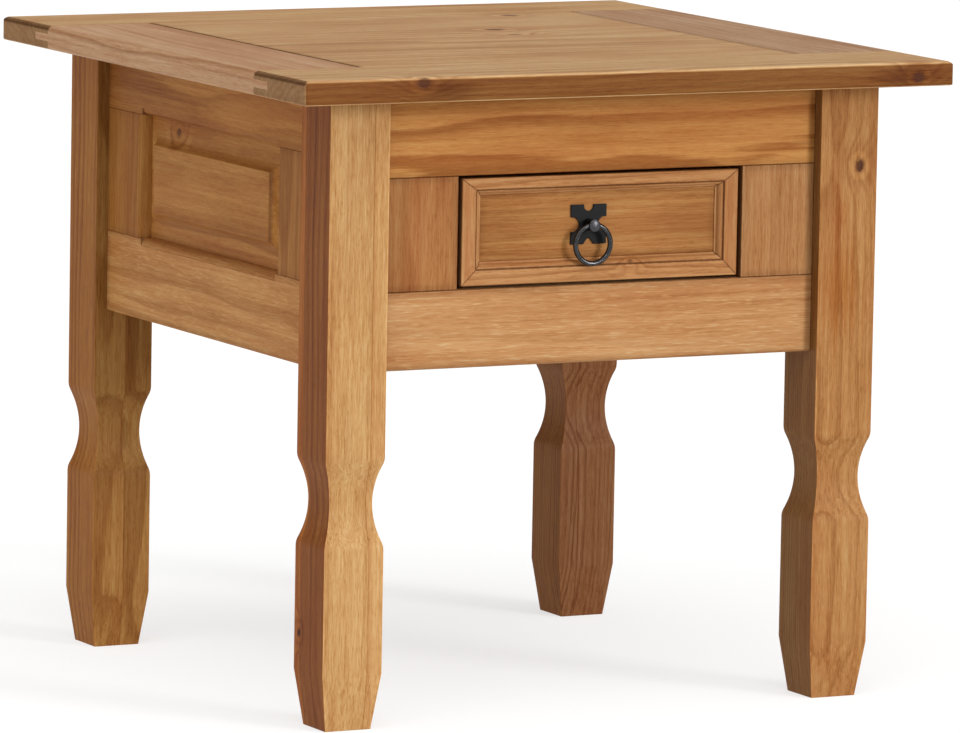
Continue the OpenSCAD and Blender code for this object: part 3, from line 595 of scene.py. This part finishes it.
# Top
# Its wide, dark seams are painted shade in the V grooves round it.
board("top_center_panel", "X", (0.434, 0.248, 0.108), pith=(-40, -90), ring=7.0, seed=1.3,
      contrast=0.5, width_mm=0.2, clip={"X": (-SEAM_X, SEAM_X), "Y": (-FAR, FAR)},
      seam=0.95, seam_mm=2.6,
      knots=[(spot("top_center_panel", 227.5, 247, HIGH), 7.0, 0.75),
             (spot("top_center_panel", 289.5, 344, HIGH), 6.0, 0.75),
             (spot("top_center_panel", 223.5, 209, HIGH), 5.0, 0.5)])
board("top_front_board", "X", (0.449, 0.265, 0.118), pith=(24, -60), ring=5.5, seed=2.1,
      contrast=0.5, seam=0.35, end_arris=0.8, clip={"Y": (-FAR, -SEAM_Y)},
      knots=[(spot("top_front_board", 89.3, LOW, 14), 5.0, 0.8),
             (spot("top_front_board", 471.9, LOW, 6.5), 4.5, 0.8)],
      patches=[(spot("top_front_board", 110, LOW, 7), 10, (0.62, 0.52, 0.46), 0.8),
               (spot("top_front_board", 455, LOW, 7), 9, (0.66, 0.56, 0.50), 0.7)],
      faces={"Y": (0.31, 0.19, 0.09)})
board("top_back_board", "X", (0.434, 0.248, 0.103), pith=(-20, -70), ring=5.5, seed=3.7,
      contrast=0.5, seam=0.35, end_arris=0.8, clip={"Y": (SEAM_Y, FAR)},
      faces={"Y": (0.42, 0.28, 0.18)})
board("top_left_board", "Y", (0.413, 0.227, 0.114), pith=(18, -80), ring=5.0, seed=4.9,
      contrast=0.55, seam=0.5, clip={"X": (-FAR, -SEAM_X), "Y": (-FAR, FAR)}, seam_mm=2.0)
board("top_right_board", "Y", (0.368, 0.209, 0.109), pith=(-30, -55), ring=5.0, seed=5.2,
      contrast=0.55, seam=0.5, clip={"X": (SEAM_X, FAR), "Y": (-FAR, FAR)}, seam_mm=2.0)

# Legs, each glued up from strips
LEG = dict(grain="Z", fleck=0.6, fibre=1.25, width_mm=0.9, seam=0.0, wear=0.4, square_leg=True)
board("leg_front_left", tint=(0.350, 0.190, 0.070), pith=(4, -125), ring=8.5, seed=6.1,
      contrast=0.85, strips=[("X", 11.2, 0.04), ("Y", 14.0, 0.42)],
      faces={"X": (0.62, 0.375, 0.215)}, calm={"Y": 0.72},
      knots=[(spot("leg_front_left", LOW, 37, 64.2), 2.6, 1.0)], **LEG)
board("leg_front_right", tint=(0.277, 0.128, 0.041), pith=(-9, -60), ring=3.4, seed=7.4,
      contrast=0.6, strips=[("Y", -2.0, -0.05)], faces={"X": (0.63, 0.60, 0.54)},
      knots=[(spot("leg_front_right", 31, LOW, 375), 4.4, 1.0)],
      patches=[(spot("leg_front_right", 17, LOW, 290), 19, (0.84, 0.64, 0.42), 0.95),
               (spot("leg_front_right", 17, LOW, 340), 9, (0.86, 0.66, 0.52), 0.8)], **LEG)
# The rear legs are tinted far darker than the front ones: partly darker wood, partly painted
# shade for the shade under the table.
board("leg_back_left", tint=(0.278, 0.103, 0.019), pith=(-10, 110), ring=7.0, seed=8.8,
      contrast=0.7, strips=[("X", 2.0, -0.03)], faces={"Y": (0.79, 0.97, 1.35)}, **LEG)
board("leg_back_right", tint=(0.182, 0.065, 0.012), pith=(-30, -40), ring=3.4, seed=9.5,
      contrast=0.8, strips=[("X", -8.0, 0.03)], faces={"Y": (0.82, 0.93, 1.90)}, **LEG)

# Front apron. What faces the gap round the drawer sees little light, and is painted darker as
# painted shade.
GAP_PAINTED_SHADE = (0.45, 0.38, 0.33)
OPENING = {"Z": (box_mm("front_bottom_rail")[1][2], box_mm("front_top_rail")[0][2])}
# The strong seams round the front rails and stiles are partly painted shadow under the rails'
# edges.
board("front_top_rail", "X", (0.326, 0.137, 0.035), pith=(50, -22), ring=8.5, seed=11.2,
      contrast=1.0, clip=BETWEEN_X, pale=0.6, fleck=0.3, seam=0.85)
board("front_bottom_rail", "X", (0.326, 0.159, 0.060), pith=(70, 26), ring=9.0, seed=12.6,
      contrast=0.5, clip=BETWEEN_X, pale=1.5, fleck=0.15, seam=0.85)
board("front_left_stile", "Z", (0.264, 0.112, 0.036), pith=(-14, 60), ring=9.0, seed=13.1,
      contrast=0.6, stain=0.8, clip=OPENING, faces={"X": GAP_PAINTED_SHADE}, seam=0.85)
board("front_right_stile", "Z", (0.273, 0.127, 0.046), pith=(20, 90), ring=7.0, seed=14.3,
      contrast=0.35, clip=OPENING, faces={"X": GAP_PAINTED_SHADE}, seam=0.85)

# Framed aprons: left and right have their rails along Y, the back along X. The left one has a
# knot in its panel, and its top rail has painted shade at its rear end.
LEFT_KNOTS = [(spot("left_panel", 5, 180.3, 86.9), 3.6, 0.8)]
LEFT_REAR_SHADE = [(spot("left_top_rail", LOW, 339, 21), 62, (0.70, 0.62, 0.68), 1.0)]
for side, along, first in (("left", "Y", 20.0), ("right", "Y", 30.0), ("back", "X", 40.0)):
    between = BETWEEN_X if along == "X" else BETWEEN_Y
    low_rail, high_rail = box_mm(side + "_bottom_rail"), box_mm(side + "_top_rail")
    opening = {"Z": (low_rail[1][2], high_rail[0][2])}
    board(side + "_top_rail", along, (0.367, 0.154, 0.035), pith=(60, -30), ring=8.0,
          seed=first + 1.1, contrast=0.6, clip=between,
          patches=LEFT_REAR_SHADE if side == "left" else ())
    board(side + "_bottom_rail", along, (0.423, 0.196, 0.061), pith=(64, 30), ring=8.0,
          seed=first + 2.4, contrast=0.5, clip=between, pale=1.3, fleck=0.2, seam=0.75)
    ends = ("left", "right") if side == "back" else ("front", "back")
    for i, end in enumerate(ends):
        board(f"{side}_{end}_stile", "Z", (0.293, 0.118, 0.027), pith=(50, 20), ring=6.0,
              seed=first + 5.2 + i, contrast=0.6, clip=opening)
    board(side + "_panel", along, (0.358, 0.152, 0.037), pith=(80, 12), ring=8.5,
          seed=first + 3.8, contrast=0.65, stain=0.6, seam=0.4, wear=0.0,
          knots=LEFT_KNOTS if side == "left" else ())

# Drawer front and its mouldings
FRONT = box_mm("drawer_front")
FRONT_MIDDLE = (Vector(FRONT[0]) + Vector(FRONT[1])) / 2


def moulding_width_mm(side, axis):
    low, high = box_mm("drawer_moulding_" + side)
    return high[axis] - low[axis]


SIDE_W = moulding_width_mm("left", 0)
TOP_W, BOTTOM_W = moulding_width_mm("top", 2), moulding_width_mm("bottom", 2)
FIELD = {"X": (FRONT[0][0] + SIDE_W, FRONT[1][0] - SIDE_W),
         "Z": (FRONT[0][2] + BOTTOM_W, FRONT[1][2] - TOP_W)}
# The field is darker at its two ends
FIELD_STAIN = [((x, FRONT[0][1], FRONT_MIDDLE[2]), 26, (0.78, 0.72, 0.66), 0.8)
               for x in FIELD["X"]]
# Its edges in the gap round it are painted darker, as painted shade.
board("drawer_front", "X", (0.270, 0.116, 0.033), pith=(60, 8), ring=6.0, seed=51.0,
      contrast=0.45, width_mm=0.25, clip=FIELD, seam=0.55, wear=0.0,
      faces={"X": GAP_PAINTED_SHADE, "Z": GAP_PAINTED_SHADE}, patches=FIELD_STAIN)
# Each moulding's grain, the axis across it, which way is outward along that, its width, and at
# each end how far a mitre runs for each mm across it
LEVEL_ENDS = {"top": SIDE_W / TOP_W, "bottom": SIDE_W / BOTTOM_W}
UPRIGHT_ENDS = [(1, TOP_W / SIDE_W), (-1, BOTTOM_W / SIDE_W)]
MITRES = {"top": ("X", "Z", 1, TOP_W, [(1, LEVEL_ENDS["top"]), (-1, LEVEL_ENDS["top"])]),
          "bottom": ("X", "Z", -1, BOTTOM_W,
                     [(1, LEVEL_ENDS["bottom"]), (-1, LEVEL_ENDS["bottom"])]),
          "left": ("Z", "X", -1, SIDE_W, UPRIGHT_ENDS),
          "right": ("Z", "X", 1, SIDE_W, UPRIGHT_ENDS)}
MOULDING_KNOTS = {"bottom": [(spot("drawer_moulding_bottom", 130.8, LOW, 13), 2.2, 0.7)],
                  "left": [(spot("drawer_moulding_left", 11, LOW, 8), 1.8, 0.6)]}
# Where the bead meets the flat, as a part of the moulding's width
BEAD_PART = 0.69
for side, seed in (("top", 52.3), ("bottom", 53.9), ("left", 54.6), ("right", 55.8)):
    grain, across, outward, width, ends = MITRES[side]
    board("drawer_moulding_" + side, grain, (0.308, 0.142, 0.051), pith=(18, 30), ring=4.2,
          seed=seed, contrast=0.6, width_mm=0.22, seam=0.15, wear=0.25,
          mitre={"along": index(grain), "across": index(across), "outward": outward,
                 "ends": ends, "bead": BEAD_PART * width, "dark": 0.55},
          knots=MOULDING_KNOTS.get(side, ()))

# Inside and underneath, in bare wood, each with its own seed
BARE_SEED, BARE_SEED_STEP, BARE_ARRIS_MM = 60.0, 1.7, 0.5
for i, node in enumerate(sorted(n for n in NODES if SLOTS[n] in ("raw_pine", "plywood"))):
    low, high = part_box(node)
    spans = high - low
    grain = "XYZ"[max(range(3), key=lambda k: spans[k])]
    seed = BARE_SEED + BARE_SEED_STEP * i
    dress(soften(node, BARE_ARRIS_MM),
          bare_wood(node + "_bare", grain, box_mm(node), seed, SLOTS[node] == "plywood"))

# ---------- the metal parts ----------

IRON = metal("satin_black_iron", (0.006, 0.006, 0.0065), 0.55, 0.0, 0.9, wear=0.15,
             bright=(0.02, 0.02, 0.021), sheen=0.12)
# On the ring the bright rubbed places are partly real wear and partly painted highlight.
RING = metal("rubbed_black_iron_painted_glints", (0.045, 0.045, 0.047), 0.24, 1.0, 0.9, wear=0.5,
             bright=(0.22, 0.22, 0.22), pits=0.1)
GUN = metal("dark_polished_steel", (0.055, 0.055, 0.06), 0.36, 1.0, 0.45, wear=0.6,
            bright=(0.22, 0.22, 0.23), pits=0.5)
ZINC = metal("zinc_plate", (0.50, 0.51, 0.52), 0.36, 1.0, 1.2, wear=0.2)

IRON_ARRIS_MM = 0.3
for node, finish in (("pull_plate", IRON), ("pull_post", GUN)):
    dress(soften(node, IRON_ARRIS_MM, 3, name=node + "_iron"), finish)
dress(NODES["pull_ring"], RING)
for node in NODES:
    if SLOTS[node] == "zinc_steel":
        dress(NODES[node], ZINC)

# ---------- floor, light and camera ----------

# The stage is wide enough for a long lens that stands far back
STAGE_RADIUS = 18.0
FLOOR_GREY, FLOOR_GLOW, WORLD_GLOW = 0.36, 0.66, 0.35


def stage_piece(name, grey, rough, glow, create, **shape):
    """A plain piece of the stage that glows white."""
    bm = bmesh.new()
    create(bm, radius=STAGE_RADIUS, **shape)
    mesh = bpy.data.meshes.new(name)
    bm.to_mesh(mesh)
    bm.free()
    material, shader = new_material(name + "_surface")
    shader.inputs["Base Color"].default_value = (grey, grey, grey, 1.0)
    shader.inputs["Roughness"].default_value = rough
    shader.inputs["Specular IOR Level"].default_value = 0.1
    shader.inputs["Emission Color"].default_value = (1.0, 1.0, 1.0, 1.0)
    shader.inputs["Emission Strength"].default_value = glow
    piece = link(name, mesh)
    dress(piece, material)
    return piece


floor = stage_piece("floor", FLOOR_GREY, 0.9, FLOOR_GLOW, bmesh.ops.create_circle,
                    cap_ends=True, segments=96)
# The backdrop is only seen, and lights nothing
dome = stage_piece("backdrop", 0.0, 1.0, 1.0, bmesh.ops.create_uvsphere,
                   u_segments=64, v_segments=32)
dome.visible_diffuse = False
dome.visible_glossy = False
dome.visible_transmission = False
dome.visible_shadow = False

world = bpy.data.worlds.new("studio")
bpy.context.scene.world = world
world.use_nodes = True
world.node_tree.nodes["Background"].inputs["Color"].default_value = (1.0, 1.0, 1.0, 1.0)
world.node_tree.nodes["Background"].inputs["Strength"].default_value = WORLD_GLOW


def toward(azimuth_deg, elevation_deg):
    """The direction to a place; azimuth 0 is in front of the table, positive to its right."""
    a, e = math.radians(azimuth_deg), math.radians(elevation_deg)
    return Vector((math.sin(a) * math.cos(e), -math.cos(a) * math.cos(e), math.sin(e)))


def soft_sun(name, azimuth_deg, elevation_deg, strength, spread_deg):
    """Light from far off, as wide as spread_deg."""
    lamp = bpy.data.lights.new(name, "SUN")
    lamp.energy = strength
    lamp.angle = math.radians(spread_deg)
    holder = link(name, lamp)
    holder.rotation_mode = "QUATERNION"
    holder.rotation_quaternion = toward(azimuth_deg, elevation_deg).to_track_quat("Z", "Y")


soft_sun("key", 31, 13, 2.15, 17)
soft_sun("overhead", -8, 62, 1.95, 70)
soft_sun("fill", -52, 16, 0.50, 60)
bpy.context.scene.view_settings.view_transform = "Standard"

# The camera stands in front and to the left, a little above the top, with a long lens. Its aim
# is a little off the line to the table's middle.
VIEW_AZIMUTH, VIEW_ELEVATION = -27.0141, 7.3657
VIEW_DISTANCE, LOOK_HEIGHT = 5.9646, 0.230
AIM_AZIMUTH, AIM_PITCH, AIM_ROLL = VIEW_AZIMUTH - 0.1092, 7.496, 1.0218
FOCAL_TO_WIDTH, SENSOR_WIDTH_MM = 8.7552, 36.0

camera_data = bpy.data.cameras.new("camera")
camera_data.sensor_width = SENSOR_WIDTH_MM
camera_data.lens = FOCAL_TO_WIDTH * SENSOR_WIDTH_MM
camera_data.clip_start, camera_data.clip_end = 0.1, 60.0
camera = link("camera", camera_data)
bpy.context.scene.camera = camera
backward = toward(AIM_AZIMUTH, AIM_PITCH)
right = (-backward).cross(Vector((0, 0, 1))).normalized()
upward = right.cross(-backward)
turn = (Matrix((right, upward, backward)).transposed()
        @ Matrix.Rotation(math.radians(AIM_ROLL), 3, "Z"))
stand = Vector((0, 0, LOOK_HEIGHT)) + VIEW_DISTANCE * toward(VIEW_AZIMUTH, VIEW_ELEVATION)
camera.matrix_world = Matrix.Translation(stand) @ turn.to_4x4()
